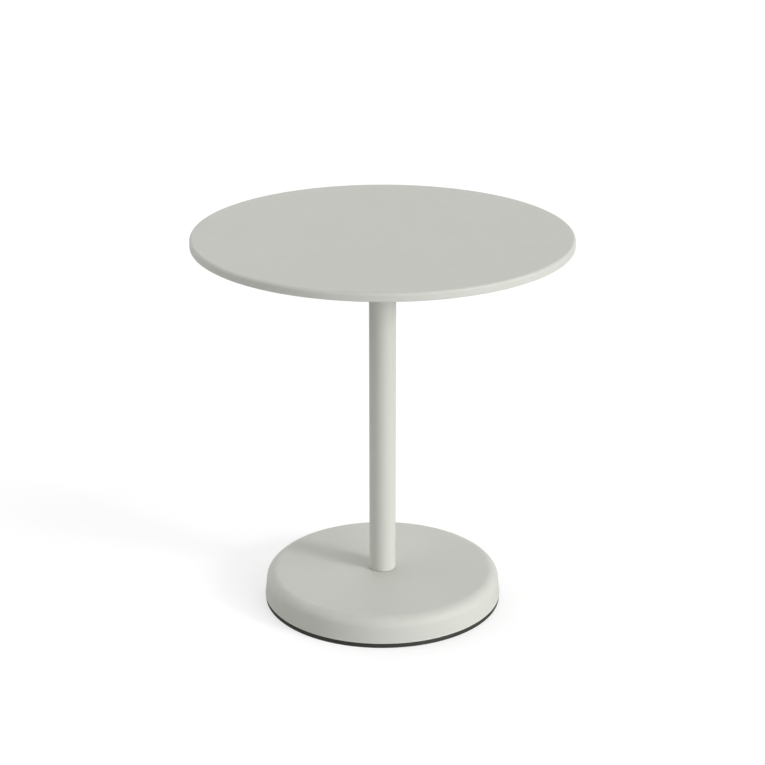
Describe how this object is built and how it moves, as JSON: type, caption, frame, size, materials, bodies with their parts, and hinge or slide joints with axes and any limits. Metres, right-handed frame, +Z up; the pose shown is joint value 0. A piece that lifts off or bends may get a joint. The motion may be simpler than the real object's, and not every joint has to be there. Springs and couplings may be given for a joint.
{
  "type": "bistro table",
  "caption": "Round bistro table: thin disc top with a turned-down rim on a slim column, low drum base with a ballast weight, rubber foot ring and levelling feet.",
  "frame": {"origin": "centre of the foot ring's face on the floor, on the column axis", "axes": "+Z up along the column; the levelling feet lie on the diagonals between X and Y; the picture looks along +Y from the -Y side"},
  "size_m": [0.7, 0.7, 0.725],
  "materials": {
    "powder_coat": "satin",
    "foot_rubber": "matte",
    "gasket_rubber": "matte",
    "primed_iron": "matte",
    "zinc_plated": "satin",
    "pad_nylon": "matte"
  },
  "bodies": {
    "table": {"tabletop": "powder_coat", "top_rib_1": "powder_coat", "top_rib_2": "powder_coat", "top_rib_3": "powder_coat", "top_rib_4": "powder_coat", "top_rib_5": "powder_coat", "top_rib_6": "powder_coat", "top_rib_7": "powder_coat", "top_rib_8": "powder_coat", "top_mounting_plate": "powder_coat", "weld_nuts": "powder_coat", "head_flange": "powder_coat", "column_tube": "powder_coat", "base_cover": "powder_coat", "foot_ring": "foot_rubber", "column_gasket": "gasket_rubber", "base_weight": "primed_iron", "head_screws": "zinc_plated", "head_washers": "zinc_plated", "column_foot_plug": "zinc_plated", "centre_bolt": "zinc_plated", "lock_washer": "zinc_plated", "clamp_washer": "zinc_plated", "locating_pins": "zinc_plated"},
    "foot_pad_1": {"levelling_foot_pad_1": "pad_nylon"},
    "foot_stud_1": {"levelling_foot_stud_1": "zinc_plated"},
    "foot_pad_2": {"levelling_foot_pad_2": "pad_nylon"},
    "foot_stud_2": {"levelling_foot_stud_2": "zinc_plated"},
    "foot_pad_3": {"levelling_foot_pad_3": "pad_nylon"},
    "foot_stud_3": {"levelling_foot_stud_3": "zinc_plated"},
    "foot_pad_4": {"levelling_foot_pad_4": "pad_nylon"},
    "foot_stud_4": {"levelling_foot_stud_4": "zinc_plated"}
  },
  "joints": [
    {"name": "levelling_foot_1_travel", "type": "slide", "parent": "table", "child": "foot_pad_1", "axis": [0, 0, -1], "range_m": [0, 0.01]},
    {"name": "levelling_foot_1_turn", "type": "hinge", "parent": "foot_pad_1", "child": "foot_stud_1", "pos_m": [0.12021, 0.12021, 0.008], "axis": [0, 0, -1], "range_deg": [0, 2880]},
    {"name": "levelling_foot_2_travel", "type": "slide", "parent": "table", "child": "foot_pad_2", "axis": [0, 0, -1], "range_m": [0, 0.01]},
    {"name": "levelling_foot_2_turn", "type": "hinge", "parent": "foot_pad_2", "child": "foot_stud_2", "pos_m": [-0.12021, 0.12021, 0.008], "axis": [0, 0, -1], "range_deg": [0, 2880]},
    {"name": "levelling_foot_3_travel", "type": "slide", "parent": "table", "child": "foot_pad_3", "axis": [0, 0, -1], "range_m": [0, 0.01]},
    {"name": "levelling_foot_3_turn", "type": "hinge", "parent": "foot_pad_3", "child": "foot_stud_3", "pos_m": [-0.12021, -0.12021, 0.008], "axis": [0, 0, -1], "range_deg": [0, 2880]},
    {"name": "levelling_foot_4_travel", "type": "slide", "parent": "table", "child": "foot_pad_4", "axis": [0, 0, -1], "range_m": [0, 0.01]},
    {"name": "levelling_foot_4_turn", "type": "hinge", "parent": "foot_pad_4", "child": "foot_stud_4", "pos_m": [0.12021, -0.12021, 0.008], "axis": [0, 0, -1], "range_deg": [0, 2880]}
  ],
  "couplings": [
    {"joint": "levelling_foot_1_travel", "follows": "levelling_foot_1_turn", "m_per_rad": 0.00019894},
    {"joint": "levelling_foot_2_travel", "follows": "levelling_foot_2_turn", "m_per_rad": 0.00019894},
    {"joint": "levelling_foot_3_travel", "follows": "levelling_foot_3_turn", "m_per_rad": 0.00019894},
    {"joint": "levelling_foot_4_travel", "follows": "levelling_foot_4_turn", "m_per_rad": 0.00019894}
  ]
}
